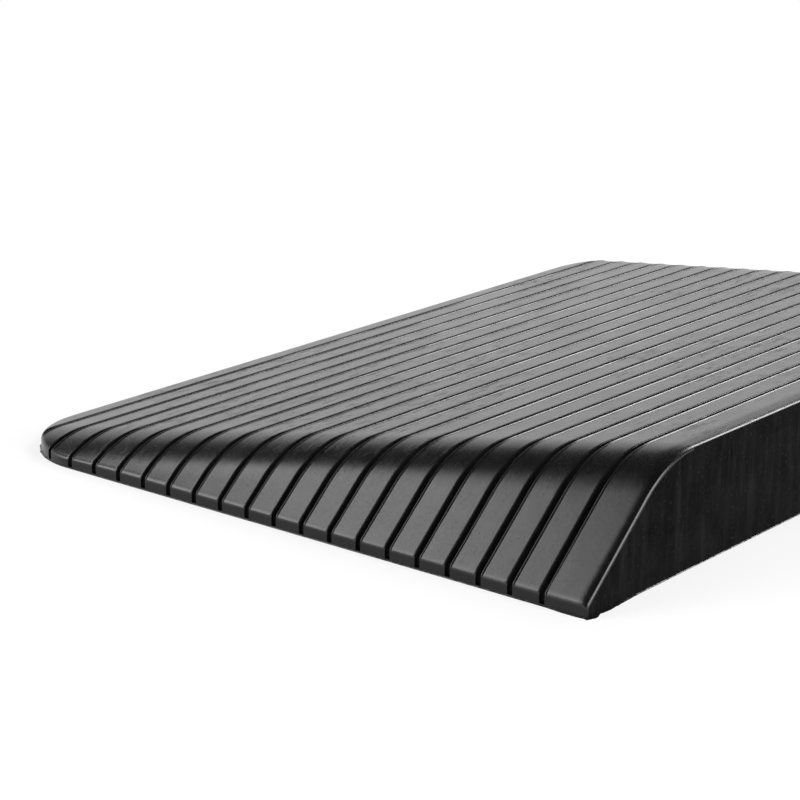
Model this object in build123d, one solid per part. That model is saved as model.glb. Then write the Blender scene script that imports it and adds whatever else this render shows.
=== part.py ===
from build123d import *
import os
from math import atan, cos, degrees, radians, sin, tan

# The ramp stands on z = 0. X runs across the doorway, +Y climbs the slope to the threshold.
# The origin is the middle of the underside.

# Outline of the moulded body
ramp_width = 900.0
ramp_depth = 630.0
ramp_rise = 100.0
nose_height = 13.3
lip_height = 10.5
flare_angle = 41.0
corner_radius = 82.0

# Roundings of the moulded body
crest_radius = 97.0
nose_radius = 8.0
lip_edge_radius = 2.5
back_edge_radius = 2.0

# Tread grooves
groove_count = 20
groove_pitch = 29.6
last_tread = 40.5
groove_width = 5.0
groove_depth = 3.2
base_strip = 2.0

# Hollow cells of the underside
skin_thickness = 18.0
rear_wall = 40.0
side_land = 62.0
front_land = 120.0
cell_columns = 8
cell_rows = 5
rib_thickness = 26.0
cell_corner_radius = 8.0

# Double-sided mounting tape in shallow recesses
tape_width = 19.0
tape_thickness = 1.0
tape_side_clearance = 1.0
tape_gap = 12.0
tape_end_inset = 90.0
front_tape_inset = 42.0

# Space that a cutting shape reaches past what it cuts
overshoot = 20.0

# Worked-out planes of the form
slope = atan((ramp_rise - nose_height) / ramp_depth)
flare = radians(flare_angle)
top_normal = Vector(0, -sin(slope), cos(slope))
flare_normal = Vector(sin(flare), 0, cos(flare))
half_width = ramp_width / 2
half_depth = ramp_depth / 2


def top_height(y, inset=0.0):
    """Height of the sloping top at y, lowered square to itself by inset."""
    return nose_height + (y + half_depth) * tan(slope) - inset / cos(slope)


def wedge(inset=0.0, rounding=0.0):
    """Wedge over the footprint with its two round front corners and its rounded upper outline."""
    footprint = Rectangle(ramp_width - 2 * inset, ramp_depth - inset)
    front_corners = footprint.vertices().group_by(Axis.Y)[0]
    footprint = Pos(0, inset / 2) * fillet(front_corners, corner_radius - inset)
    side = Plane.YZ * Polygon(
        (-half_depth, 0),
        (half_depth, 0),
        (half_depth, top_height(half_depth, inset)),
        (-half_depth, top_height(-half_depth, inset)),
        align=None,
    )
    block = extrude(side, half_width, both=True) & extrude(footprint, ramp_rise + overshoot)
    if rounding <= 0:
        return block
    top = max(block.faces(), key=lambda face: face.normal_at().dot(top_normal))
    rim = [edge for edge in top.edges() if edge.center().Y < half_depth - overshoot]
    return fillet(rim, rounding)


def flare_prism(inset=0.0, rounding=0.0):
    """Section across the ramp, with the two upright lips and the two flares, run along Y."""
    side = half_width - inset
    lip = lip_height - inset * (1 - sin(flare)) / cos(flare)
    roof = ramp_rise + overshoot
    shoulder = side - (roof - lip) / tan(flare)
    outline = Polygon(
        (-side, 0),
        (side, 0),
        (side, lip),
        (shoulder, roof),
        (-shoulder, roof),
        (-side, lip),
        align=None,
    )
    if rounding > 0:
        outline = fillet(outline.vertices().filter_by(lambda v: abs(v.Y - lip) < 1e-6), rounding)
    return extrude(Plane.XZ * outline, half_depth + overshoot, both=True)


def crest_trims(inset=0.0):
    """Shapes that cut the sharp crests between top and flares back to a round of one radius."""
    radius = crest_radius - inset
    crest_run = top_normal.cross(flare_normal).normalized()
    start = Vector(half_width - (nose_height - lip_height) / tan(flare), -half_depth, nose_height)
    middle = (top_normal + flare_normal).normalized()
    half_turn = radians(top_normal.get_angle(flare_normal)) / 2
    corner = start - middle * (inset / cos(half_turn)) - crest_run * overshoot
    centre = corner - middle * (radius / cos(half_turn))
    on_top = centre + top_normal * radius
    on_flare = centre + flare_normal * radius
    arc = ThreePointArc(on_top, centre + middle * radius, on_flare)
    outside = Polyline(
        on_flare,
        on_flare + flare_normal * radius,
        on_top + top_normal * radius,
        on_top,
    )
    length = (ramp_depth + 3 * overshoot) / crest_run.Y
    trim = extrude(make_face([arc, *outside.edges()]), length, dir=crest_run)
    return [trim, mirror(trim, Plane.YZ)]


def outer_form(inset=0.0):
    """The smooth outer form, every outside face moved in by inset."""
    form = wedge(inset, nose_radius - inset) & flare_prism(inset, lip_edge_radius - inset)
    for trim in crest_trims(inset):
        form = form - trim
    return form


def groove_places():
    """Y of each groove's middle, counted from the threshold side."""
    last = half_depth - last_tread
    return [last - number * groove_pitch for number in range(groove_count)]


def tread_grooves():
    """Grooves across the whole width, over the crests and down the flares and lips."""
    height = ramp_rise + overshoot
    slabs = [
        Pos(0, y, base_strip)
        * Box(ramp_width + overshoot, groove_width, height, align=(Align.CENTER, Align.CENTER, Align.MIN))
        for y in groove_places()
    ]
    return Part(slabs) - outer_form(groove_depth)


def cell_spacing():
    """Pitch of the cells along X and Y."""
    zone_x = ramp_width - 2 * side_land
    zone_y = ramp_depth - front_land - rear_wall
    pitch_x = (zone_x + rib_thickness) / cell_columns
    pitch_y = (zone_y + rib_thickness) / cell_rows
    return pitch_x, pitch_y


def underside_cells():
    """Rectangular cells, open below, whose roofs run parallel to the top and the flares."""
    pitch_x, pitch_y = cell_spacing()
    middle_y = (front_land - rear_wall) / 2
    cell = RectangleRounded(pitch_x - rib_thickness, pitch_y - rib_thickness, cell_corner_radius)
    grid = GridLocations(pitch_x, pitch_y, cell_columns, cell_rows)
    pattern = Sketch() + [Pos(0, middle_y) * place * cell for place in grid]
    cells = extrude(pattern, ramp_rise)
    return cells & wedge(skin_thickness) & flare_prism(skin_thickness)


def tape_strips():
    """Name, middle and length along X and Y of each strip of mounting tape."""
    front_y = -half_depth + front_tape_inset
    rear_y = half_depth - rear_wall / 2
    cross_length = ramp_width - 2 * tape_end_inset
    low = front_y + tape_width / 2 + tape_gap
    high = rear_y - tape_width / 2 - tape_gap
    run = (tape_width, high - low)
    middle_y = (low + high) / 2
    side_x = half_width - side_land / 2
    rib_pitch = cell_spacing()[0]
    ribs = [(number - cell_columns / 2) * rib_pitch for number in range(1, cell_columns)]
    outer_rib = len(ribs) // 4
    return {
        "front_tape": (0, front_y, cross_length, tape_width),
        "rear_tape": (0, rear_y, cross_length, tape_width),
        "left_side_tape": (-side_x, middle_y, *run),
        "right_side_tape": (side_x, middle_y, *run),
        "left_rib_tape": (ribs[outer_rib], middle_y, *run),
        "centre_rib_tape": (ribs[len(ribs) // 2], middle_y, *run),
        "right_rib_tape": (ribs[-1 - outer_rib], middle_y, *run),
    }


def strip(x, y, length_x, length_y, clearance=0.0):
    """A flat strip on z = 0, as thick as the tape and larger all round by clearance."""
    size_x = length_x + 2 * clearance
    size_y = length_y + 2 * clearance
    base = (Align.CENTER, Align.CENTER, Align.MIN)
    return Pos(x, y, 0) * Box(size_x, size_y, tape_thickness, align=base)


def ramp_body():
    """The one-piece rubber moulding: treads, flares, plain back and ribbed underside."""
    form = outer_form()
    back = max(form.faces(), key=lambda face: face.center().Y)
    rim = [edge for edge in back.edges() if edge.center().Z > lip_height]
    form = fillet(rim, back_edge_radius)
    recesses = [strip(*place, clearance=tape_side_clearance) for place in tape_strips().values()]
    return form - tread_grooves() - underside_cells() - recesses


nodes = {"ramp_body": ramp_body()}
for name, place in tape_strips().items():
    nodes[name] = strip(*place)

os.makedirs("parts", exist_ok=True)
for name, shape in nodes.items():
    shape.label = name
    export_step(shape, f"parts/{name}.step")

print(f"slope {degrees(slope):.2f} degrees, {groove_count} grooves, {len(nodes)} nodes")
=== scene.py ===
import logging
import math
from dataclasses import dataclass
from enum import Enum

import bmesh
import bpy
import numpy as np
from mathutils import Matrix, Vector, geometry

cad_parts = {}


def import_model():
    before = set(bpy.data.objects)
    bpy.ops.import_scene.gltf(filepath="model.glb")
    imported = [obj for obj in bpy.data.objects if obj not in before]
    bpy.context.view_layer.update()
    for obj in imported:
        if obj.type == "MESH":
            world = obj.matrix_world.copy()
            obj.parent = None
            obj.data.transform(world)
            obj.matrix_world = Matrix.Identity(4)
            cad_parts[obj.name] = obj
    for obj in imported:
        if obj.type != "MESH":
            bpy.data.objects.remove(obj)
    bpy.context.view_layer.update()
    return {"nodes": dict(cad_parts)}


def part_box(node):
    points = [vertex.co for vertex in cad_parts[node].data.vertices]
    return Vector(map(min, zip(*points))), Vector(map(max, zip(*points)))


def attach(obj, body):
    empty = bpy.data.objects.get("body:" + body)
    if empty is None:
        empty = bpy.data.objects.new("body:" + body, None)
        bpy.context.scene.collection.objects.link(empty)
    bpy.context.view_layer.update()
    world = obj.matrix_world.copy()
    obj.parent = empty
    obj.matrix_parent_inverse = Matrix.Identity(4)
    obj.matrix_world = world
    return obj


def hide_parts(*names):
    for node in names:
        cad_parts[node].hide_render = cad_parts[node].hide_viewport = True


log = logging.getLogger("threshold_ramp")

Array = np.ndarray
Socket = bpy.types.NodeSocket
Colour = tuple[float, float, float]
Span = tuple[float, float]
Station = tuple[float, float, float, int]

MM = 0.001
AXES = 3
ROOT = "root"
MERGE_DISTANCE = 0.002 * MM
SHARP_ANGLE = math.radians(32)
CORNER_SIGNS = ((1, 1), (-1, 1), (-1, -1), (1, -1))
UNIT = (0.0, 1.0)


class Face(Enum):
    """Places on the moulding that have a finish of their own, by material index; grooves and back
    take darker copies of the rubber as painted shade.
    """

    TREADS = 0
    # Back face and lowest rows of the back rounding: a near-black, almost unreflecting copy of the
    # rubber as painted shade; its streaks are real.
    REAR = 1
    UNDERSIDE = 2
    # Deep groove faces: near-black, almost unreflecting rubber, painted shade standing in for the
    # recess's occlusion.
    GROOVES = 3
    LIPS = 4


class Combine(Enum):
    """Ways to work out one value of a surface from two."""

    SUM = "ADD"
    PRODUCT = "MULTIPLY"
    LARGER = "MAXIMUM"


def quarter_drop(distance: Array, radius: Array | float) -> Array:
    """How far a rounded edge lies below its flat face, at a distance inside the edge.

    Args:
        distance: Distance from the edge, measured inwards along the face.
        radius: Radius of the rounding.

    Returns:
        The drop, from the radius at the edge down to 0 where the rounding ends.
    """
    inside = np.clip(distance, 0.0, radius)
    return radius - np.sqrt(np.maximum(radius**2 - (radius - inside) ** 2, 0.0))


def quarter_steps(count: int) -> Array:
    """Angles that share a quarter turn into count steps."""
    return np.linspace(0.0, math.pi / 2, count + 1)


def even_shares(count: int) -> Array:
    """Shares of the way at which count places lie evenly between two ends."""
    return np.linspace(0.0, 1.0, count + 2)[1:-1]


def direction(azimuth: float, elevation: float) -> Vector:
    """Unit vector at an azimuth, counted from +X, and an elevation over the floor."""
    level = math.cos(elevation)
    return Vector((level * math.cos(azimuth), level * math.sin(azimuth), math.sin(elevation)))


@dataclass(frozen=True)
class RollBand:
    """Band along the back edge in which the surface bends down softly and then falls evenly."""

    width: float
    bend: float
    fall: float

    def drop(self, behind: Array) -> Array:
        """How far the band lowers the surface.

        Args:
            behind: Place along the slope, counted from the back edge and negative before it.

        Returns:
            The drop under the surface without the band.
        """
        reach = np.clip(behind + self.width, 0.0, self.width)
        bent = np.minimum(reach, self.bend)
        return self.fall * (bent**2 / (2 * self.bend) + reach - bent)


@dataclass(frozen=True)
class RampForm:
    """Smooth outer form of the moulding, width across the doorway and depth up the slope."""

    width: float
    depth: float
    rise: float = 100.0 * MM
    nose_height: float = 13.3 * MM
    lip_height: float = 10.5 * MM
    flare_angle: float = math.radians(41.0)
    corner_radius: float = 82.0 * MM
    crest_radius: float = 97.0 * MM
    nose_radius: float = 8.0 * MM
    least_nose_radius: float = 1.0 * MM
    lip_radius: float = 1.8 * MM
    top_roll: RollBand = RollBand(16.5 * MM, 5.0 * MM, 0.13)
    flare_roll: RollBand = RollBand(8.0 * MM, 8.0 * MM, 0.32)
    edge_roll: RollBand = RollBand(5.0 * MM, 1.0 * MM, 0.13)

    @property
    def slope(self) -> float:
        """Angle of the top."""
        return math.atan((self.rise - self.nose_height) / self.depth)

    @property
    def top_normal(self) -> Vector:
        """Outward normal of the top."""
        return Vector((0.0, -math.sin(self.slope), math.cos(self.slope)))

    @property
    def flare_normal(self) -> Vector:
        """Outward normal of the flare on the +X side."""
        return Vector((math.sin(self.flare_angle), 0.0, math.cos(self.flare_angle)))

    @property
    def crest_run(self) -> Vector:
        """Direction of the crest between top and flare, up the slope."""
        return self.top_normal.cross(self.flare_normal).normalized()

    def crest_centre(self) -> Vector:
        """Finds the axis of the crest's rounding.

        Returns:
            The point of the axis below the front end of the sharp crest.
        """
        edge = self.width / 2 - (self.nose_height - self.lip_height) / math.tan(self.flare_angle)
        corner = Vector((edge, -self.depth / 2, self.nose_height))
        middle = (self.top_normal + self.flare_normal).normalized()
        half_turn = self.top_normal.angle(self.flare_normal) / 2
        return corner - middle * (self.crest_radius / math.cos(half_turn))

    def top_height(self, y: Array, inset: Array | float = 0.0) -> Array:
        """Height of the sloping top, sunk square to itself by inset."""
        run = (np.asarray(y) + self.depth / 2) * math.tan(self.slope)
        return self.nose_height + run - inset / math.cos(self.slope)

    def flare_height(self, x: Array, inset: Array | float = 0.0) -> Array:
        """Height of the flare on either side, sunk square to itself by inset."""
        run = (self.width / 2 - np.abs(x)) * math.tan(self.flare_angle)
        return self.lip_height + run - inset / math.cos(self.flare_angle)

    def crest_edge(self, normal: Vector, y: Array, inset: Array | float) -> Array:
        """Where the crest's rounding meets the top or a flare.

        Args:
            normal: Normal of the face that it meets.
            y: Place along the slope.
            inset: How far the surface is sunk.

        Returns:
            The distance from the middle plane.
        """
        centre = self.crest_centre()
        run = self.crest_run
        radius = self.crest_radius - inset
        along = (np.asarray(y) - centre.y - radius * normal.y) / run.y
        return centre.x + radius * normal.x + run.x * along

    def crest_height(self, x: Array, y: Array, inset: Array | float) -> Array:
        """Height of the crest's rounding, a cylinder along the crest.

        Args:
            x: Distance from the middle plane.
            y: Place along the slope.
            inset: How far the surface is sunk.

        Returns:
            The height of the upper side of the cylinder.
        """
        centre = self.crest_centre()
        run = self.crest_run
        radius = self.crest_radius - inset
        across = np.abs(x) - centre.x
        along = np.asarray(y) - centre.y
        shared = across * run.x + along * run.y
        square = 1.0 - run.z**2
        rest = across**2 + along**2 - shared**2 - radius**2
        root = np.sqrt(np.maximum((shared * run.z) ** 2 - square * rest, 0.0))
        return centre.z + (shared * run.z + root) / square

    def half_width(self, y: Array, inset: Array | float = 0.0) -> Array:
        """Half the width of the footprint, with its round front corners.

        Args:
            y: Place along the slope.
            inset: How far the corners are moved in.

        Returns:
            The distance of the side edge from the middle plane.
        """
        middle = -self.depth / 2 + self.corner_radius
        behind = np.maximum(middle - np.asarray(y), 0.0)
        radius = self.corner_radius - inset
        bow = np.sqrt(np.maximum(radius**2 - behind**2, 0.0))
        return self.width / 2 - self.corner_radius + bow

    def edge_distance(self, x: Array, y: Array) -> Array:
        """Distance in plan from the footprint's front and side edge.

        Args:
            x: Place across the ramp.
            y: Place along the slope.

        Returns:
            The distance, positive inside the footprint.
        """
        over_x = np.abs(x) - (self.width / 2 - self.corner_radius)
        over_y = -self.depth / 2 + self.corner_radius - np.asarray(y)
        at_corner = self.corner_radius - np.hypot(over_x, over_y)
        at_side = self.corner_radius - np.maximum(over_x, over_y)
        return np.where((over_x > 0) & (over_y > 0), at_corner, at_side)

    def back_roll(self, x: Array, y: Array) -> Array:
        """How far the last tread bows down towards the back edge, less far in on the flares.

        Args:
            x: Place across the ramp.
            y: Place along the slope.

        Returns:
            The drop under the smooth form.
        """
        top_edge = self.crest_edge(self.top_normal, y, 0.0)
        flare_edge = self.crest_edge(self.flare_normal, y, 0.0)
        turn = np.clip((np.abs(x) - top_edge) / (flare_edge - top_edge), 0.0, 1.0)
        behind = np.asarray(y) - self.depth / 2
        rolled = self.top_roll.drop(behind) * (1 - turn) + self.flare_roll.drop(behind) * turn
        return rolled + self.edge_roll.drop(behind)

    def height(self, x: Array, y: Array, inset: Array, plan_inset: Array) -> Array:
        """Height of the upper surface.

        Args:
            x: Place across the ramp.
            y: Place along the slope.
            inset: How far top, crest and flares are sunk, as in a groove.
            plan_inset: How far the upright front and sides are moved in.

        Returns:
            The height of the lowest of top, flare, crest and rounded edges.
        """
        top = self.top_height(y, inset)
        flare = self.flare_height(x, inset)
        top_edge = self.crest_edge(self.top_normal, y, inset)
        flare_edge = self.crest_edge(self.flare_normal, y, inset)
        on_crest = (np.abs(x) > top_edge) & (np.abs(x) < flare_edge)
        smooth = np.where(on_crest, self.crest_height(x, y, inset), np.minimum(top, flare))
        plan = self.edge_distance(x, y) - plan_inset
        side = self.half_width(y, plan_inset) - np.abs(x)
        nose = top - quarter_drop(plan, np.maximum(self.nose_radius - inset, self.least_nose_radius))
        lip = smooth - quarter_drop(side, self.lip_radius)
        return np.minimum(lip, nose) - self.back_roll(x, y)


@dataclass(frozen=True)
class GrooveForm:
    """Section of one tread groove, with the raised bead on its threshold side."""

    count: int = 20
    pitch: float = 29.6 * MM
    last_tread: float = 40.5 * MM
    width: float = 5.0 * MM
    depth: float = 3.2 * MM
    base_strip: float = 2.0 * MM
    mouth_width: float = 2.2 * MM
    mouth_tilt: float = math.radians(22.0)
    mouth_steps: int = 5
    # Share of the mouth's depth from which the painted groove shade begins.
    painted_shade_from: float = 0.9
    floor_radius: float = 2.0 * MM
    floor_steps: int = 5
    bead_slope: float = math.radians(30.0)
    bead_crown: float = 0.5 * MM
    bead_height: float = 0.5 * MM
    bead_radius: float = 0.3 * MM
    bead_steps: int = 3
    bead_shares: tuple[float, ...] = (0.0, 0.15, 0.85, 1.0)
    flat_strip: float = 0.25 * MM

    @property
    def mouth_bow(self) -> float:
        """Radius of the soft bend into the groove."""
        return self.mouth_width / math.sin(self.mouth_tilt)

    @property
    def mouth_depth(self) -> float:
        """Depth above which a groove still has the finish of the treads; deeper faces get the painted
        groove shade.
        """
        return self.painted_shade_from * self.mouth_bow * (1 - math.cos(self.mouth_tilt))

    def places(self, depth: float) -> list[float]:
        """Middles of the grooves along the slope, from the nose to the threshold."""
        last = depth / 2 - self.last_tread
        return [last - number * self.pitch for number in reversed(range(self.count))]

    def profile(self) -> list[Span]:
        """Outline of the round-bottomed groove and of the low bead behind it.

        Returns:
            Pairs of place along the slope, from the groove's middle, and depth under the tread.
        """
        half = self.width / 2
        mouth = [(-half - self.mouth_width - self.flat_strip, 0.0)]
        bow = self.mouth_bow
        for tilt in np.linspace(0.0, self.mouth_tilt, self.mouth_steps + 1).tolist():
            place = -half - self.mouth_width + bow * math.sin(tilt)
            mouth.append((place, bow * (1 - math.cos(tilt))))
        floor = []
        for turn in quarter_steps(self.floor_steps):
            place = -half + self.floor_radius * (1 - math.cos(turn))
            floor.append((place, self.depth - self.floor_radius * (1 - math.sin(turn))))
        far_floor = [(-place, depth) for place, depth in reversed(floor)]
        bead = []
        for turn in quarter_steps(self.bead_steps):
            place = half + self.bead_radius * (1 - math.cos(turn))
            bead.append((place, self.bead_radius * (1 - math.sin(turn)) - self.bead_height))
        crown_end = half + self.bead_radius + self.bead_crown
        bead_end = crown_end + self.bead_height / math.tan(self.bead_slope)
        for share in self.bead_shares:
            place = crown_end + (bead_end - crown_end) * share
            bead.append((place, -self.bead_height * (1 - share)))
        bead.append((bead_end + self.flat_strip, 0.0))
        return mouth + floor + far_floor + bead


def rounded_rectangle(half_x: float, half_y: float, radius: float, steps: int) -> Array:
    """Outline of a rectangle with round corners.

    Args:
        half_x: Half its width.
        half_y: Half its depth.
        radius: Radius of the corners.
        steps: How many steps a corner has.

    Returns:
        The points, anticlockwise in plan.
    """
    points = []
    for quarter, (sign_x, sign_y) in enumerate(CORNER_SIGNS):
        for step in quarter_steps(steps):
            turn = quarter * math.pi / 2 + step
            x = sign_x * (half_x - radius) + radius * math.cos(turn)
            y = sign_y * (half_y - radius) + radius * math.sin(turn)
            points.append((x, y))
    return np.array(points)


@dataclass(frozen=True)
class Underside:
    """Open cells and tape recesses under the moulding."""

    skin: float = 18.0 * MM
    rear_wall: float = 40.0 * MM
    side_land: float = 62.0 * MM
    front_land: float = 120.0 * MM
    columns: int = 8
    rows: int = 5
    rib: float = 26.0 * MM
    corner: float = 8.0 * MM
    corner_steps: int = 4
    roof_shares: tuple[float, ...] = (1.0, 0.7, 0.35, 0.02)
    tape_clearance: float = 1.0 * MM

    def loops(self, form: RampForm) -> list[Array]:
        """Outlines of the cells' mouths.

        Args:
            form: The moulding that they are cut into.

        Returns:
            The corners of each mouth in plan, one loop for each cell.
        """
        zone_x = form.width - 2 * self.side_land
        zone_y = form.depth - self.front_land - self.rear_wall
        pitch_x = (zone_x + self.rib) / self.columns
        pitch_y = (zone_y + self.rib) / self.rows
        middle_y = (self.front_land - self.rear_wall) / 2
        half_x = (pitch_x - self.rib) / 2
        half_y = (pitch_y - self.rib) / 2
        outline = rounded_rectangle(half_x, half_y, self.corner, self.corner_steps)
        found = []
        for column in range(self.columns):
            for row in range(self.rows):
                x = (column - (self.columns - 1) / 2) * pitch_x
                y = middle_y + (row - (self.rows - 1) / 2) * pitch_y
                found.append(outline + np.array([x, y]))
        return found

    def roof(self, form: RampForm, points: Array) -> Array:
        """Height of the cells' roofs, one skin below the top and the flares."""
        top = form.top_height(points[:, 1], self.skin)
        return np.minimum(top, form.flare_height(points[:, 0], self.skin))

    def recess(self, low: Vector, high: Vector) -> Array:
        """Outline in plan of the recess for one tape strip.

        Args:
            low: Lowest corner of the strip's box.
            high: Highest corner of the strip's box.

        Returns:
            The four corners.
        """
        gap = self.tape_clearance
        half = np.array([(high.x - low.x) / 2 + gap, (high.y - low.y) / 2 + gap])
        middle = np.array([(low.x + high.x) / 2, (low.y + high.y) / 2])
        return middle + np.array(CORNER_SIGNS) * half


def add_object(name: str, data: bpy.types.ID) -> bpy.types.Object:
    """Puts a mesh, a lamp or a camera into the scene.

    Args:
        name: Name of the object.
        data: What the object holds.

    Returns:
        The new object.
    """
    placed = bpy.data.objects.new(name, data)
    bpy.context.scene.collection.objects.link(placed)
    return placed


def closed_mesh(mesh: bpy.types.Mesh) -> None:
    """Joins the seams of a mesh, turns its faces outwards and marks its sharp edges.

    Args:
        mesh: The mesh, which is changed.
    """
    work = bmesh.new()
    work.from_mesh(mesh)
    bmesh.ops.remove_doubles(work, verts=work.verts, dist=MERGE_DISTANCE)
    bmesh.ops.dissolve_degenerate(work, dist=MERGE_DISTANCE / 2, edges=work.edges)
    bmesh.ops.recalc_face_normals(work, faces=work.faces)
    open_edges = sum(1 for edge in work.edges if not edge.is_manifold)
    log.info("%s: %d faces, %d open edges", mesh.name, len(work.faces), open_edges)
    work.to_mesh(mesh)
    work.free()
    mesh.shade_smooth()
    mesh.set_sharp_from_angle(angle=SHARP_ANGLE)


class Draft:
    """Vertices and faces of one mesh while it is put together."""

    def __init__(self) -> None:
        """Starts with nothing in it."""
        self.points: list[Array] = []
        self.faces: list[tuple[int, ...]] = []
        self.places: list[int] = []
        self.total = 0

    def add_points(self, points: Array) -> Array:
        """Adds points.

        Args:
            points: The points, with the coordinates along the last axis.

        Returns:
            Their numbers, in the shape of the given grid.
        """
        flat = points.reshape(-1, AXES)
        numbers = np.arange(self.total, self.total + len(flat))
        self.points.append(flat)
        self.total += len(flat)
        return numbers.reshape(points.shape[:-1])

    def add_face(self, corners: list[int], place: Face) -> None:
        """Adds one face by the numbers of its points, with its finish."""
        self.faces.append(tuple(corners))
        self.places.append(place.value)

    def add_grid(self, points: Array, place: Face | Array) -> None:
        """Adds a grid of points with the quads between neighbours.

        Args:
            points: The grid, with the coordinates along its last axis.
            place: Which finish the quads have, one for all or an index for each.
        """
        numbers = self.add_points(points)
        corners = (numbers[:-1, :-1], numbers[:-1, 1:], numbers[1:, 1:], numbers[1:, :-1])
        quads = np.stack(corners, -1).reshape(-1, len(corners))
        self.faces.extend(map(tuple, quads.tolist()))
        if isinstance(place, Face):
            self.places.extend([place.value] * len(quads))
        else:
            self.places.extend(place.reshape(-1).tolist())

    def mesh(self, name: str) -> bpy.types.Mesh:
        """Makes the Blender mesh from what was added.

        Args:
            name: Name of the mesh.

        Returns:
            The mesh, with a material index on each face.
        """
        mesh = bpy.data.meshes.new(name)
        mesh.from_pydata(np.concatenate(self.points).tolist(), [], self.faces)
        mesh.polygons.foreach_set("material_index", self.places)
        return mesh

    def solid(self, name: str) -> bpy.types.Object:
        """Makes a closed piece from what was added.

        Args:
            name: Name of the piece and its mesh.

        Returns:
            The piece.
        """
        mesh = self.mesh(name)
        closed_mesh(mesh)
        return add_object(name, mesh)


@dataclass
class MouldedBody:
    """The one-piece rubber moulding, with its treads, flares, back and ribbed underside."""

    form: RampForm
    groove: GrooveForm = GrooveForm()
    under: Underside = Underside()
    back_radius: float = 2.0 * MM
    back_steps: int = 5
    nose_steps: int = 9
    tread_steps: int = 2
    last_tread_steps: int = 15
    last_tread_crowding: float = 1.8
    # Rows at the foot of the back rounding that take the painted rear shade.
    rear_shade_rows: int = 2
    wall_rows: int = 3
    strip_rows: int = 2
    strip_softness: float = 0.4 * MM
    strip_parts: int = 3
    foot_parts: int = 4
    flat_strip: float = 0.3 * MM
    rim_reach: float = 12.0 * MM
    rim_steps: int = 10
    rim_crowding: float = 1.5
    flare_steps: int = 6
    least_flare: float = 1.0 * MM
    crest_steps: int = 16
    least_crest_step: float = 0.5 * MM
    top_steps: int = 34
    lip_narrowing: float = 1.5
    first_groove_cut: float = 0.2
    wobble: float = 0.12 * MM
    wave_lengths: tuple[float, ...] = (310.0 * MM, 117.0 * MM, 61.0 * MM)
    least_pull: float = 0.4
    wave_fade: float = 4.0 * MM
    seed: int = 7

    @property
    def wall_points(self) -> int:
        """How many points an upright wall has below its rim."""
        return self.wall_rows + self.strip_rows + 1

    @staticmethod
    def tread(low: float, high: float, number: int, shares: Array) -> list[Station]:
        """Flat sections behind a groove by its number, at shares of the way from low to high."""
        return [(float(place), 0.0, 0.0, number) for place in low + (high - low) * shares]

    def stations(self) -> tuple[Array, Array, Array, Array]:
        """Cross sections along the slope, from the nose to the back face.

        Returns:
            Each section's place, groove depth, rounding of the back edge and groove number.
        """
        start = -self.form.depth / 2
        end = self.form.depth / 2
        profile = self.groove.profile()
        middles = self.groove.places(self.form.depth)
        last_number = len(middles) - 1
        even = even_shares(self.tread_steps)
        crowded = 1.0 - (1.0 - even_shares(self.last_tread_steps)) ** self.last_tread_crowding
        reach = self.form.nose_radius
        nose = [start + reach * (1 - math.cos(turn)) for turn in quarter_steps(self.nose_steps)]
        rows: list[Station] = [(place, 0.0, 0.0, 0) for place in nose]
        rows += self.tread(nose[-1], middles[0] + profile[0][0], 0, even)
        for number, middle in enumerate(middles):
            rows += [(middle + place, depth, 0.0, number) for place, depth in profile]
            last = middle + profile[-1][0]
            if number < last_number:
                rows += self.tread(last, middles[number + 1] + profile[0][0], number, even)
        rows += self.tread(last, end - self.back_radius, last_number, crowded)
        for turn in quarter_steps(self.back_steps):
            place = end - self.back_radius * (1 - math.sin(turn))
            rows.append((place, 0.0, self.back_radius * (1 - math.cos(turn)), last_number))
        columns = np.array(rows).T
        return columns[0], columns[1], columns[2], columns[3].astype(int)

    def half_section(self, y: Array, inset: Array) -> Array:
        """Distances from the middle plane at which each section has a point on its upper side.

        Args:
            y: Place of each section.
            inset: Depth of each section under the smooth form.

        Returns:
            A grid of one row per section, from the side edge to the middle plane.
        """
        edge = self.form.half_width(y, inset)
        reach = (1 - np.cos(quarter_steps(self.rim_steps))) ** self.rim_crowding
        rim = edge[:, None] - self.rim_reach * reach[None, :]
        flare_end = self.form.crest_edge(self.form.flare_normal, y, inset)
        flare_end = np.minimum(flare_end, rim[:, -1] - self.least_flare)
        top_end = self.form.crest_edge(self.form.top_normal, y, inset)
        top_end = np.minimum(top_end, flare_end - self.crest_steps * self.least_crest_step)
        parts = [rim]
        for low, high, steps in (
            (rim[:, -1], flare_end, self.flare_steps),
            (flare_end, top_end, self.crest_steps),
            (top_end, np.zeros_like(top_end), self.top_steps),
        ):
            share = np.linspace(0.0, 1.0, steps + 1)[None, 1:]
            parts.append(low[:, None] + (high - low)[:, None] * share)
        return np.concatenate(parts, axis=1)

    def waves(self, x: Array, number: Array) -> Array:
        """Small wander of each groove along its length.

        Args:
            x: Place across the ramp of every point.
            number: Groove number of each section.

        Returns:
            The shift along the slope of every point.
        """
        rng = np.random.RandomState(self.seed)
        kinds = (self.groove.count, len(self.wave_lengths))
        phase = rng.uniform(0, 2 * math.pi, kinds)
        pull = rng.uniform(self.least_pull, 1.0, kinds)
        total = np.zeros_like(x)
        for wave, length in enumerate(self.wave_lengths):
            turn = 2 * math.pi * x / length + phase[number, wave][:, None]
            total += pull[number, wave][:, None] * np.sin(turn) / (wave + 1)
        return total * self.wobble

    def lip_cut(self, groove_depth: Array) -> Array:
        """Depth of each section's groove in the upright lip, where it is narrower.

        Args:
            groove_depth: Depth of each section under the treads.

        Returns:
            How far the lip is cut in.
        """
        mouth = self.groove.depth - self.groove.floor_radius
        share = np.clip((groove_depth - mouth) / self.groove.floor_radius, 0.0, 1.0)
        return self.groove.depth * share**self.lip_narrowing

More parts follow.
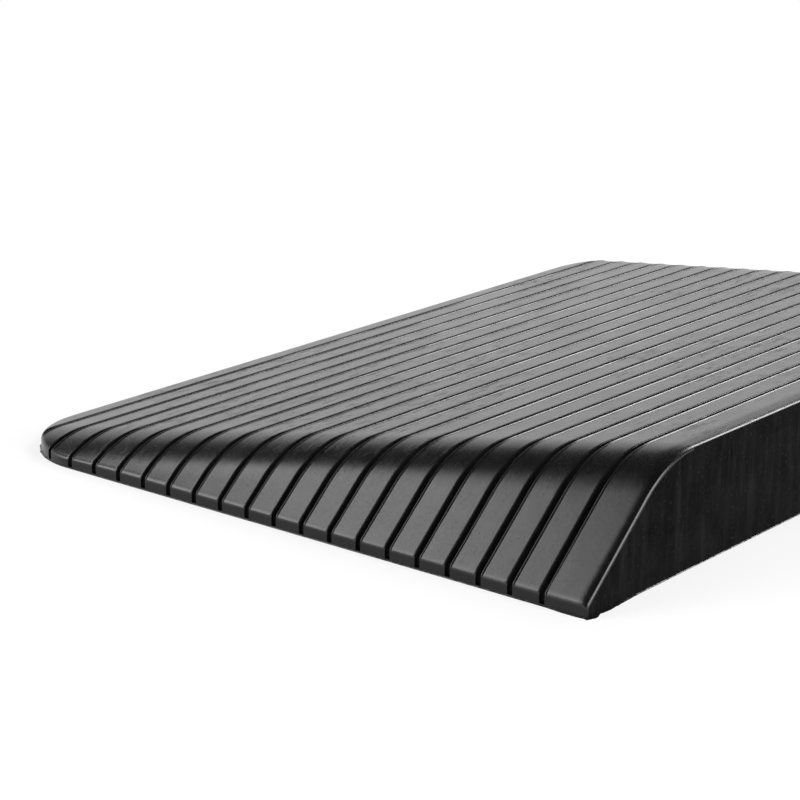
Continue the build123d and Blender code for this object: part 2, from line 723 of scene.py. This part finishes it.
    def finishes(self, groove_depth: Array, first: Array, columns: int) -> Array:
        """Chooses the finish of each quad of the skin, including the painted shade in the grooves and
        on the back rounding's lowest rows.

        Args:
            groove_depth: Depth of each section under the treads.
            first: Which sections lie in the first groove.
            columns: How many quads a row has.

        Returns:
            The material index of every quad.
        """
        deep = groove_depth > self.groove.mouth_depth
        places = np.full((len(deep) - 1, columns), Face.TREADS.value)
        lip = self.wall_points - 1
        inner = lip + self.rim_steps
        # Quads deep in a groove take the painted groove shade, which darkens them as an occluded
        # recess.
        for row in np.flatnonzero(deep[:-1] & deep[1:]):
            side = inner if first[row] else self.strip_rows
            places[row, side:-side] = Face.GROOVES.value
        for wall in (places[:, :lip], places[:, -lip:]):
            wall[wall == Face.TREADS.value] = Face.LIPS.value
        crest_end = inner + self.flare_steps + self.crest_steps
        # Between the crests, the back rounding's lowest rows take the painted rear shade in place of
        # their grey reflection.
        places[-self.rear_shade_rows :, crest_end:-crest_end] = Face.REAR.value
        return places

    def wall(self, y: Array, groove: Array, back: Array, rim: Array, side: float) -> Array:
        """Upright wall under one side edge, with the plain strip below the grooves.

        Args:
            y: Place of each section.
            groove: Groove depth of each section.
            back: Rounding of the back edge at each section.
            rim: Points of the side edge, where the wall ends.
            side: 1 for the +X side and -1 for the other.

        Returns:
            A grid of one row per section, from the floor up, the rim left out.
        """
        low = self.form.half_width(y, back) * side
        high = self.form.half_width(y, groove + back) * side
        strip = self.groove.base_strip
        top = rim[:, 2]
        base = np.minimum(strip, top / self.strip_parts)
        foot = np.minimum(strip - self.strip_softness, top / self.foot_parts)
        columns = [np.stack([low, y, np.zeros_like(y)], -1), np.stack([low, y, foot], -1)]
        for step in range(self.wall_rows):
            share = step / self.wall_rows
            columns.append(np.stack([high, y, base + (top - base) * share], -1))
        columns.append(np.stack([high, y, top - self.flat_strip], -1))
        return np.stack(columns, axis=1)

    def skin(self, draft: Draft) -> Array:
        """Adds the upper skin with its side walls.

        Args:
            draft: Mesh in the making.

        Returns:
            The points of the skin, one row per section.
        """
        y, groove_depth, back_round, number = self.stations()
        inset = groove_depth + back_round
        first = (number == 0) & (groove_depth > 0)
        side_cut = np.where(first, self.first_groove_cut, 1.0) * self.lip_cut(groove_depth)
        plan_inset = side_cut + back_round
        half = self.half_section(y, plan_inset)
        x = np.concatenate([half, -half[:, -2::-1]], axis=1)
        fade = np.clip((half[:, :1] - np.abs(x)) / self.wave_fade, 0.0, 1.0)
        in_groove = groove_depth != 0
        place = y[:, None] + self.waves(x, number) * fade * in_groove[:, None]
        z = self.form.height(x, place, inset[:, None], plan_inset[:, None])
        upper = np.stack([x, place, z], -1)
        right = self.wall(y, side_cut, back_round, upper[:, 0], 1.0)
        left = self.wall(y, side_cut, back_round, upper[:, -1], -1.0)
        points = np.concatenate([right, upper, left[:, ::-1]], axis=1)
        draft.add_grid(points, self.finishes(groove_depth, first, points.shape[1] - 1))
        return points

    def end_face(self, draft: Draft, section: Array, place: Face) -> Array:
        """Fills the upright face under an end section.

        Args:
            draft: Mesh in the making.
            section: Points of the end section, with both its walls.
            place: Which finish the face has.

        Returns:
            The points along the foot of the face.
        """
        rows = self.wall_points
        upper = section[rows:-rows]
        wall = section[:rows]
        share = wall[:, 2] / upper[0, 2]
        grid = [wall]
        for point in upper[1:-1]:
            column = np.repeat(point[None, :], rows, axis=0)
            column[:, 2] = point[2] * share
            column[-1, 2] = point[2] - self.flat_strip
            grid.append(column)
        grid.append(section[-rows:][::-1])
        full = np.concatenate([np.stack(grid), upper[:, None, :]], axis=1)
        draft.add_grid(full, place)
        return full[:, 0]

    def add_cell(self, draft: Draft, loop: Array) -> None:
        """Adds the walls and the sloping roof of one open cell.

        Args:
            draft: Mesh in the making.
            loop: Outline of the cell's mouth in plan.
        """
        closed = np.concatenate([loop, loop[:1]])
        middle = loop.mean(axis=0)
        rings = [np.column_stack([closed, np.zeros(len(closed))])]
        for share in self.under.roof_shares:
            ring = middle + (closed - middle) * share
            rings.append(np.column_stack([ring, self.under.roof(self.form, ring)]))
        draft.add_grid(np.stack(rings), Face.UNDERSIDE)
        draft.add_face(draft.add_points(rings[-1][:-1]).tolist(), Face.UNDERSIDE)

    def add_recess(self, draft: Draft, loop: Array, lift: float) -> None:
        """Adds the shallow walls and the flat roof of one tape recess.

        Args:
            draft: Mesh in the making.
            loop: Outline of the recess in plan.
            lift: Depth of the recess.
        """
        closed = np.concatenate([loop, loop[:1]])
        levels = [np.column_stack([closed, np.full(len(closed), level)]) for level in (0.0, lift)]
        draft.add_grid(np.stack(levels), Face.UNDERSIDE)
        draft.add_face(draft.add_points(levels[-1][:-1]).tolist(), Face.UNDERSIDE)

    def floor_side(self, draft: Draft, outline: Array, tapes: list[Array], lift: float) -> None:
        """Adds the underside with its open cells and tape recesses.

        Args:
            draft: Mesh in the making.
            outline: Points of the footprint, in order.
            tapes: Outline of each tape recess in plan.
            lift: Depth of the tape recesses.
        """
        cells = self.under.loops(self.form)
        points: list[Vector] = []
        rings: list[list[int]] = []
        for loop in [outline[:, :2], *cells, *tapes]:
            rings.append(list(range(len(points), len(points) + len(loop))))
            points += [Vector(point) for point in loop.tolist()]
        tolerance = MERGE_DISTANCE / 4
        flat, _, fills, _, _, inside = geometry.delaunay_2d_cdt(points, [], rings, 1, tolerance)
        base = draft.total
        draft.add_points(np.array([(point.x, point.y, 0.0) for point in flat]))
        for corners, rings_around in zip(fills, inside):
            if list(rings_around) == [0]:
                draft.add_face([base + corner for corner in corners], Face.UNDERSIDE)
        for loop in cells:
            self.add_cell(draft, loop)
        for loop in tapes:
            self.add_recess(draft, loop, lift)

    def build(self, tape_names: list[str]) -> bpy.types.Object:
        """Builds the whole moulding as one closed mesh.

        Args:
            tape_names: Nodes of the tape strips, whose recesses are cut to their boxes.

        Returns:
            The object that stands for the CAD body.
        """
        draft = Draft()
        points = self.skin(draft)
        front = self.end_face(draft, points[0], Face.TREADS)
        # The back face takes the painted rear shade.
        back = self.end_face(draft, points[-1], Face.REAR)
        left = points[:, -1]
        right = points[:, 0]
        outline = np.concatenate([right, back[1:], left[::-1][1:], front[::-1][1:-1]])
        boxes = [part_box(name) for name in tape_names]
        recesses = [self.under.recess(low, high) for low, high in boxes]
        self.floor_side(draft, outline, recesses, boxes[-1][1].z)
        return draft.solid("moulded_body")


@dataclass
class MouldFlash:
    """Thin ragged rim of rubber left along the foot of the moulding, widest at the corners."""

    form: RampForm
    step: float = 1.3 * MM
    corner_steps: int = 24
    plain_width: float = 0.35 * MM
    ragged_width: float = 4.2 * MM
    rough_span: int = 5
    rough_weight: float = 0.8
    slow_span: int = 21
    slow_weight: float = 2.0
    ragged_base: float = 0.2
    tab_reach: float = 40.0 * MM
    tab_weight: float = 0.9
    corner_gap: float = 8.0 * MM
    corner_share: float = 0.15
    rear_reach: float = 100.0 * MM
    rear_weight: float = 0.4
    side_share: float = 0.35
    nose_inset: float = 20.0 * MM
    nose_reach: float = 30.0 * MM
    nose_weight: float = 0.7
    least_share: float = 0.05
    thickness: float = 1.1 * MM
    least_thickness: float = 0.6
    tip_share: float = 0.35
    root_depth: float = 0.3 * MM
    seed: int = 11

    def path(self) -> tuple[Array, Array]:
        """Footprint outline from the back middle round the nose and back.

        Returns:
            Points along the outline, one step apart, and its outward normals.
        """
        half = self.form.width / 2
        back = self.form.depth / 2
        radius = self.form.corner_radius
        points: list[Span] = [(0.0, back), (half, back), (half, -back + radius)]
        for turn in quarter_steps(self.corner_steps):
            x = half - radius + radius * math.cos(turn)
            y = -back + radius - radius * math.sin(turn)
            points.append((x, y))
        outline = np.array(points + [(-x, y) for x, y in reversed(points)])
        gaps = np.linalg.norm(np.diff(outline, axis=0), axis=1)
        outline = outline[np.concatenate([[True], gaps > MERGE_DISTANCE])]
        gaps = np.linalg.norm(np.diff(outline, axis=0), axis=1)
        length = np.concatenate([[0.0], np.cumsum(gaps)])
        along = np.linspace(0.0, length[-1], int(length[-1] / self.step))
        track = np.column_stack([np.interp(along, length, places) for places in outline.T])
        lead = np.gradient(track, axis=0)
        lead /= np.linalg.norm(lead, axis=1, keepdims=True)
        return track, np.column_stack([-lead[:, 1], lead[:, 0]])

    @staticmethod
    def drift(rng: np.random.RandomState, count: int, span: int) -> Array:
        """Random values from 0 to 1, each averaged with its neighbours over a span."""
        return np.convolve(rng.uniform(0.0, 1.0, count), np.ones(span) / span, mode="same")

    def widths(self, track: Array) -> Array:
        """How far the rim stands out.

        Args:
            track: Points along the outline.

        Returns:
            The width at each point.
        """
        rng = np.random.RandomState(self.seed)
        rough = self.rough_weight * self.drift(rng, len(track), self.rough_span)
        slow = self.slow_weight * (self.drift(rng, len(track), self.slow_span) - 0.5)
        back = self.form.depth / 2
        over_side = np.abs(track[:, 0]) - self.form.width / 2
        y = track[:, 1]
        to_rear = np.hypot(over_side, y - back)
        to_nose = np.hypot(over_side + self.nose_inset, y + back - self.nose_inset)
        tab = np.exp(-((to_rear / self.tab_reach) ** 4))
        tab = tab * np.clip(to_rear / self.corner_gap, self.corner_share, 1.0)
        wide = np.exp(-((to_rear / self.rear_reach) ** 2))
        rear = self.tab_weight * tab + self.rear_weight * wide
        rear = rear * np.where(y > back - MM, 1.0, self.side_share)
        nose = self.nose_weight * np.exp(-((to_nose / self.nose_reach) ** 2))
        ragged = np.clip(self.ragged_base + rough + slow, 0.0, 1.0)
        share = np.clip(rear + nose, self.least_share, 1.0)
        return self.plain_width + self.ragged_width * ragged * share

    def build(self) -> bpy.types.Object:
        """Builds the rim as a closed ribbon with a thin outer edge.

        Returns:
            The rim.
        """
        track, outward = self.path()
        width = self.widths(track)[:, None]
        width[-1] = width[0]
        inner = track - outward * self.root_depth
        outer = track + outward * width
        rng = np.random.RandomState(self.seed + 1)
        spread = (1 - self.least_thickness) * rng.uniform(0.0, 1.0, len(track))
        lift = self.thickness * (self.least_thickness + spread)
        lift[-1] = lift[0]
        flat = np.zeros(len(track))
        corners = ((inner, flat), (outer, flat), (outer, self.tip_share * lift), (inner, lift))
        sections = [np.column_stack(corner) for corner in corners]
        draft = Draft()
        draft.add_grid(np.stack([*sections, sections[0]], axis=1), Face.TREADS)
        return draft.solid("mould_flash")


@dataclass(frozen=True)
class NoiseLayer:
    """One noise of a surface, which may be stretched and cut to a span of its values."""

    scale: float
    detail: float
    rough: float
    span: Span | None = None
    stretch: tuple[float, float, float] = (1.0, 1.0, 1.0)


class NodeTree:
    """Short ways to add and join shader nodes."""

    def __init__(self, tree: bpy.types.NodeTree) -> None:
        """Keeps the tree that nodes are added to."""
        self.tree = tree

    def add(self, kind: str, **settings: object) -> bpy.types.Node:
        """Adds a node.

        Args:
            kind: Blender's name of the kind of node.
            settings: The node's own settings.

        Returns:
            The node.
        """
        node = self.tree.nodes.new(kind)
        for name, value in settings.items():
            setattr(node, name, value)
        return node

    def join(self, source: Socket, target: Socket) -> None:
        """Links an output to an input."""
        self.tree.links.new(source, target)

    @staticmethod
    def fill(node: bpy.types.Node, values: dict[str, object]) -> None:
        """Sets inputs of a node by their names."""
        for name, value in values.items():
            node.inputs[name].default_value = value

    def noise(self, place: Socket, layer: NoiseLayer) -> Socket:
        """Adds a noise texture.

        Args:
            place: Coordinates of the surface.
            layer: Sizes of the noise.

        Returns:
            The noise's value.
        """
        if layer.stretch != NoiseLayer.stretch:
            mapping = self.add("ShaderNodeMapping")
            self.fill(mapping, {"Scale": layer.stretch})
            self.join(place, mapping.inputs["Vector"])
            place = mapping.outputs["Vector"]
        node = self.add("ShaderNodeTexNoise")
        self.fill(node, {"Scale": layer.scale, "Detail": layer.detail, "Roughness": layer.rough})
        self.join(place, node.inputs["Vector"])
        value = node.outputs["Fac"]
        return value if layer.span is None else self.remap(value, layer.span, UNIT)

    def remap(self, value: Socket, given: Span, wanted: Span) -> Socket:
        """Adds a clamped map from one span to another.

        Args:
            value: What is mapped.
            given: Span of the value that counts.
            wanted: Span that it is mapped to.

        Returns:
            The mapped value.
        """
        node = self.add("ShaderNodeMapRange")
        names = ("From Min", "From Max", "To Min", "To Max")
        self.fill(node, dict(zip(names, (*given, *wanted))))
        self.join(value, node.inputs["Value"])
        return node.outputs["Result"]

    def combine(self, way: Combine, *values: Socket | float) -> Socket:
        """Combines values one after the other.

        Args:
            way: How two of them are combined.
            values: The values, the first of them a socket.

        Returns:
            The result.
        """
        total = values[0]
        for value in values[1:]:
            node = self.add("ShaderNodeMath", operation=way.value)
            self.join(total, node.inputs[0])
            if isinstance(value, float):
                node.inputs[1].default_value = value
            else:
                self.join(value, node.inputs[1])
            total = node.outputs[0]
        return total

    def two_tone(self, share: Socket, dark: Colour, light: Colour) -> Socket:
        """Adds a mix of two colours.

        Args:
            share: How much of the light colour there is.
            dark: The dark colour.
            light: The light colour.

        Returns:
            The mixed colour.
        """
        mix = self.add("ShaderNodeMix", data_type="RGBA")
        self.fill(mix, {"A": (*dark, 1.0), "B": (*light, 1.0)})
        self.join(share, mix.inputs["Factor"])
        return mix.outputs["Result"]

    def bump(self, height: Socket, strength: float, distance: float) -> Socket:
        """Adds a fine uneven surface.

        Args:
            height: Height over the surface.
            strength: How strongly the height shows.
            distance: Real height of 1.

        Returns:
            The normal.
        """
        node = self.add("ShaderNodeBump")
        self.fill(node, {"Strength": strength, "Distance": distance})
        self.join(height, node.inputs["Height"])
        return node.outputs["Normal"]


class MaterialTree(NodeTree):
    """Nodes of one new material."""

    def __init__(self, name: str) -> None:
        """Makes the material and keeps its shader and its output."""
        self.material = bpy.data.materials.new(name)
        self.material.use_nodes = True
        super().__init__(self.material.node_tree)
        self.shader = self.tree.nodes["Principled BSDF"]
        self.output = self.tree.nodes["Material Output"]

    def dress(self, colour: Socket, rough: Socket, normal: Socket) -> bpy.types.Material:
        """Joins what changes over the surface to the shader.

        Args:
            colour: The base colour.
            rough: The roughness.
            normal: The normal.

        Returns:
            The finished material.
        """
        for name, value in (("Base Color", colour), ("Roughness", rough), ("Normal", normal)):
            self.join(value, self.shader.inputs[name])
        return self.material

    def show(self, surface: Socket) -> bpy.types.Material:
        """Joins another shader to the output, and returns the finished material."""
        self.join(surface, self.output.inputs["Surface"])
        return self.material


@dataclass(frozen=True)
class RubberSurface:
    """Surface of moulded rubber: mottled tone, uneven gloss, scuffs and a fine uneven grain."""

    cloudy: NoiseLayer = NoiseLayer(34.0, 5.0, 0.6, (0.3, 0.7))
    mottle: NoiseLayer = NoiseLayer(300.0, 3.0, 0.65, (0.3, 0.7))
    fine: NoiseLayer = NoiseLayer(1300.0, 2.0, 0.5)
    specks: NoiseLayer = NoiseLayer(420.0, 1.0, 0.4, (0.70, 0.76))
    streaks: NoiseLayer = NoiseLayer(130.0, 4.0, 0.6, (0.5, 0.72), (1.0, 1.0, 0.09))
    brushed: NoiseLayer = NoiseLayer(700.0, 3.0, 0.6, (0.3, 0.7), (0.06, 1.0, 1.0))
    rubbed: NoiseLayer = NoiseLayer(170.0, 4.0, 0.62, (0.54, 0.64), (0.3, 1.0, 1.0))
    patches: NoiseLayer = NoiseLayer(9.0, 2.0, 0.5, (0.46, 0.58))
    dents: NoiseLayer = NoiseLayer(20.0, 2.0, 0.5, None, (0.35, 1.0, 1.0))
    level_facing: Span = (0.88, 0.985)
    level_share: Span = (0.3, 1.0)

    def build(self) -> bpy.types.NodeTree:
        """Builds the node group.

        Returns:
            The group, with inputs Grain, Speck, Scuff, Streak and outputs Tone, Gloss, Height.
        """
        group = bpy.data.node_groups.new("moulded_rubber_surface", "ShaderNodeTree")
        face = group.interface
        for name, value in (("Grain", 1.0), ("Speck", 1.0), ("Scuff", 1.0), ("Streak", 0.0)):
            socket = face.new_socket(name=name, in_out="INPUT", socket_type="NodeSocketFloat")
            socket.default_value = value
        for name in ("Tone", "Gloss", "Height"):
            face.new_socket(name=name, in_out="OUTPUT", socket_type="NodeSocketFloat")
        nodes = NodeTree(group)
        given = nodes.add("NodeGroupInput").outputs
        result = nodes.add("NodeGroupOutput").inputs
        spot = nodes.add("ShaderNodeTexCoord").outputs
        facing = nodes.add("ShaderNodeSeparateXYZ")
        nodes.join(spot["Normal"], facing.inputs["Vector"])
        level = nodes.remap(facing.outputs["Z"], self.level_facing, self.level_share)

        def masked(layer: NoiseLayer, *masks: Socket) -> Socket:
            """Noise of one layer, times masks."""
            return nodes.combine(Combine.PRODUCT, nodes.noise(spot["Object"], layer), *masks)

        cloudy = masked(self.cloudy)
        fine = masked(self.fine)
        dents = masked(self.dents)
        grain = masked(self.mottle, given["Grain"])
        specks = masked(self.specks, given["Speck"])
        streaks = masked(self.streaks, given["Streak"])
        brushed = masked(self.brushed, level)
        scuffs = masked(self.rubbed, masked(self.patches), given["Scuff"], level)
        torn = nodes.combine(Combine.PRODUCT, scuffs, fine)
        weights = {
            "Tone": ((cloudy, 0.35), (grain, 0.3), (streaks, 0.5), (specks, 1.5)),
            "Gloss": ((cloudy, 0.25), (grain, 0.25), (brushed, 0.15), (scuffs, 0.5), (streaks, 0.35)),
            "Height": (
                (grain, 0.3), (fine, 0.1), (brushed, 0.5), (cloudy, 1.6),
                (specks, 0.8), (torn, 9.0), (dents, 14.0),
            ),
        }
        for name, terms in weights.items():
            parts = [nodes.combine(Combine.PRODUCT, value, weight) for value, weight in terms]
            nodes.join(nodes.combine(Combine.SUM, *parts), result[name])
        return group


@dataclass(frozen=True)
class RubberFinish:
    """Black moulded rubber."""

    name: str
    dark: Colour = (0.0025, 0.0025, 0.0026)
    light: Colour = (0.009, 0.009, 0.0091)
    smooth: float = 0.20
    rough: float = 0.40
    specular: float = 0.45
    grain: float = 1.0
    speck: float = 1.0
    scuff: float = 1.0
    streak: float = 0.0
    bump: float = 0.2
    bump_distance: float = 0.08 * MM

    def material(self, group: bpy.types.NodeTree) -> bpy.types.Material:
        """Builds the material.

        Args:
            group: The shared surface of moulded rubber.

        Returns:
            The finished material.
        """
        nodes = MaterialTree(self.name)
        nodes.fill(nodes.shader, {"Specular IOR Level": self.specular})
        surface = nodes.add("ShaderNodeGroup", node_tree=group)
        nodes.fill(surface, {"Grain": self.grain, "Speck": self.speck})
        nodes.fill(surface, {"Scuff": self.scuff, "Streak": self.streak})
        return nodes.dress(
            nodes.two_tone(surface.outputs["Tone"], self.dark, self.light),
            nodes.remap(surface.outputs["Gloss"], UNIT, (self.smooth, self.rough)),
            nodes.bump(surface.outputs["Height"], self.bump, self.bump_distance),
        )


@dataclass(frozen=True)
class TapeFinish:
    """Grey foam tape with a slightly uneven adhesive film."""

    name: str = "foam_tape"
    dark: Colour = (0.17, 0.17, 0.165)
    light: Colour = (0.27, 0.27, 0.26)
    cells: NoiseLayer = NoiseLayer(900.0, 2.0, 0.5)
    film: NoiseLayer = NoiseLayer(60.0, 3.0, 0.5)
    film_span: Span = (0.3, 0.7)
    gloss: Span = (0.35, 0.6)
    bump: float = 0.3
    bump_distance: float = 0.1 * MM

    def material(self) -> bpy.types.Material:
        """Builds the material.

        Returns:
            The finished material.
        """
        nodes = MaterialTree(self.name)
        place = nodes.add("ShaderNodeTexCoord").outputs["Object"]
        cells = nodes.noise(place, self.cells)
        return nodes.dress(
            nodes.two_tone(cells, self.dark, self.light),
            nodes.remap(nodes.noise(place, self.film), self.film_span, self.gloss),
            nodes.bump(cells, self.bump, self.bump_distance),
        )


@dataclass(frozen=True)
class SoftBox:
    """One large soft lamp that faces the ramp, placed by direction and set by its brightness."""

    name: str
    azimuth: float
    elevation: float
    distance: float
    width: float
    height: float
    brightness: float
    aim: tuple[float, float, float] = (0.3, 0.0, 0.05)

    def build(self) -> None:
        """Adds the lamp."""
        data = bpy.data.lights.new(self.name, "AREA")
        data.shape = "RECTANGLE"
        data.size = self.width
        data.size_y = self.height
        data.energy = self.brightness * math.pi * self.width * self.height
        toward = direction(math.radians(self.azimuth), math.radians(self.elevation))
        lamp = add_object(self.name, data)
        lamp.location = Vector(self.aim) + toward * self.distance
        lamp.rotation_euler = (-toward).to_track_quat("-Z", "Y").to_euler()


@dataclass(frozen=True)
class PhotoCamera:
    """Camera at the place that the photograph was taken from."""

    place: tuple[float, float, float] = (1.8123, 1.2641, 0.6605)
    yaw: float = math.radians(39.5472)
    pitch: float = math.radians(16.648)
    roll: float = math.radians(0.0892)
    lens: float = 110.17

    def build(self) -> None:
        """Adds the camera and makes it the scene's own."""
        ahead = -direction(self.yaw, self.pitch)
        level = ahead.cross(Vector((0.0, 0.0, 1.0))).normalized()
        above = level.cross(ahead)
        right = level * math.cos(self.roll) + above * math.sin(self.roll)
        up = above * math.cos(self.roll) - level * math.sin(self.roll)
        data = bpy.data.cameras.new("camera")
        data.lens = self.lens
        data.sensor_fit = "HORIZONTAL"
        camera = add_object("camera", data)
        turn = Matrix((right, up, -ahead)).transposed().to_4x4()
        camera.matrix_world = Matrix.Translation(self.place) @ turn
        bpy.context.scene.camera = camera


@dataclass(frozen=True)
class Studio:
    """White floor with a low white surround, soft lamps and the camera of the photograph."""

    floor_size: float = 40.0
    floor_grey: float = 0.86
    near: float = 0.9
    far: float = 2.2
    near_whiteness: float = 0.78
    far_whiteness: float = 1.0
    surround_radius: float = 9.0
    surround_steps: int = 96
    surround_height: float = 5.1
    low_surround_height: float = 3.2
    raised_from: float = math.radians(208.0)
    raised_within: float = math.radians(10.0)
    raised_until: float = math.radians(358.0)
    lowered_within: float = math.radians(14.0)
    surround_light: float = 1.12
    world_light: float = 0.015
    lamps: tuple[SoftBox, ...] = (
        SoftBox("overhead_lamp", 300.0, 50.0, 5.0, 4.0, 1.1, 5.1),
        SoftBox("near_side_lamp", 312.0, 28.0, 5.0, 2.1, 2.8, 5.5),
        SoftBox("far_side_lamp", 179.0, 36.0, 4.0, 2.3, 0.9, 12.0),
        SoftBox("rear_lamp", 98.0, 28.0, 4.0, 2.5, 2.6, 7.5),
    )

    def floor_material(self) -> bpy.types.Material:
        """Pale floor that keeps the shadow near the ramp and is plain white further out.

        Returns:
            The finished material.
        """
        nodes = MaterialTree("studio_floor")
        nodes.fill(nodes.shader, {"Base Color": (*[self.floor_grey] * 3, 1.0)})
        nodes.fill(nodes.shader, {"Roughness": 1.0, "Specular IOR Level": 0.0})
        white = nodes.add("ShaderNodeEmission")
        rays = nodes.add("ShaderNodeLightPath").outputs
        kinds = ("Is Camera Ray", "Is Glossy Ray", "Is Transmission Ray")
        seen = nodes.combine(Combine.LARGER, *(rays[kind] for kind in kinds))
        length = nodes.add("ShaderNodeVectorMath", operation="LENGTH")
        nodes.join(nodes.add("ShaderNodeNewGeometry").outputs["Position"], length.inputs[0])
        whiteness = (self.near_whiteness, self.far_whiteness)
        away = nodes.remap(length.outputs["Value"], (self.near, self.far), whiteness)
        mix = nodes.add("ShaderNodeMixShader")
        share = nodes.combine(Combine.PRODUCT, seen, away)
        for number, source in enumerate((share, nodes.shader.outputs[0], white.outputs[0])):
            nodes.join(source, mix.inputs[number])
        return nodes.show(mix.outputs[0])

    def surround_material(self) -> bpy.types.Material:
        """Plain white of the low surround.

        Returns:
            The finished material.
        """
        nodes = MaterialTree("studio_surround")
        white = nodes.add("ShaderNodeEmission")
        nodes.fill(white, {"Strength": self.surround_light})
        return nodes.show(white.outputs[0])

    def stage_piece(self, name: str, grid: Array, material: bpy.types.Material) -> None:
        """Adds one sheet of the studio.

        Args:
            name: Name of the sheet.
            grid: Its points.
            material: Its finish.
        """
        draft = Draft()
        draft.add_grid(grid, Face.TREADS)
        sheet = add_object(name, draft.mesh(name))
        sheet.data.materials.append(material)

    def surround(self) -> Array:
        """Shapes the low surround, which stands higher beside the ramp's near flare.

        Returns:
            Its points along the floor and along its upper edge.
        """
        turns = np.linspace(0.0, 2 * math.pi, self.surround_steps + 1)
        ring = np.stack([np.cos(turns), np.sin(turns), np.zeros_like(turns)], -1)
        foot = ring * self.surround_radius
        raised = np.clip((turns - self.raised_from) / self.raised_within, 0.0, 1.0)
        raised *= np.clip((self.raised_until - turns) / self.lowered_within, 0.0, 1.0)
        top = foot.copy()
        extra = self.surround_height - self.low_surround_height
        top[:, 2] = self.low_surround_height + extra * raised
        return np.stack([foot, top])

    def build(self) -> None:
        """Adds floor, surround, world, lamps and camera."""
        half = self.floor_size / 2
        corners = [[(x, y, 0.0) for y in (-half, half)] for x in (-half, half)]
        self.stage_piece("studio_floor", np.array(corners), self.floor_material())
        self.stage_piece("studio_surround", self.surround(), self.surround_material())
        world = bpy.data.worlds.new("studio_world")
        world.use_nodes = True
        shade = world.node_tree.nodes["Background"]
        NodeTree.fill(shade, {"Color": (1.0, 1.0, 1.0, 1.0), "Strength": self.world_light})
        bpy.context.scene.world = world
        for lamp in self.lamps:
            lamp.build()
        PhotoCamera().build()
        bpy.context.scene.view_settings.view_transform = "Standard"


def rubber_materials() -> list[bpy.types.Material]:
    """Builds the finishes of the moulding.

    Returns:
        One material for each kind of face, in the order of their indices.
    """
    group = RubberSurface().build()
    black = (0.001, 0.001, 0.0011)
    grey = (0.008, 0.008, 0.0081)
    pale = (0.015, 0.015, 0.0152)
    finishes = {
        Face.TREADS: RubberFinish("tread_rubber"),
        # Painted shade: the back gets a nearly reflection-free copy of the rubber so that it reads
        # dark; the vertical streaks are the rubber's own.
        Face.REAR: RubberFinish(
            "rear_rubber_painted_shade", black, pale, 0.4, 0.65, specular=0.01, grain=0.5, speck=1.2, streak=1.0
        ),
        Face.UNDERSIDE: RubberFinish("underside_rubber", smooth=0.5, rough=0.7),
        # Painted shade: a near-black, low-reflection copy of the rubber darkens the groove interiors
        # as occlusion would.
        Face.GROOVES: RubberFinish(
            "groove_painted_shade", black, grey, 0.45, 0.65, specular=0.08, scuff=0.0
        ),
        Face.LIPS: RubberFinish("lip_rubber", specular=0.28),
    }
    return [finishes[place].material(group) for place in Face]


def main() -> None:
    """Builds the ramp's looks around its CAD frame."""
    logging.basicConfig(level=logging.INFO, format="%(name)s: %(message)s")
    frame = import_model()
    low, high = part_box("ramp_body")
    form = RampForm(width=high.x - low.x, depth=high.y - low.y)
    tapes = sorted(name for name in frame["nodes"] if name.endswith("_tape"))
    rubber = rubber_materials()
    body = MouldedBody(form).build(tapes)
    for material in rubber:
        body.data.materials.append(material)
    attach(body, ROOT)
    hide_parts("ramp_body")
    log.info("moulded body built")
    flash = MouldFlash(form).build()
    flash.data.materials.append(rubber[Face.TREADS.value])
    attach(flash, ROOT)
    log.info("mould flash built")
    foam = TapeFinish().material()
    for name in tapes:
        strip = frame["nodes"][name]
        strip.data.materials.clear()
        strip.data.materials.append(foam)
        log.info("%s dressed", name)
    Studio().build()


if __name__ == "__main__":
    main()
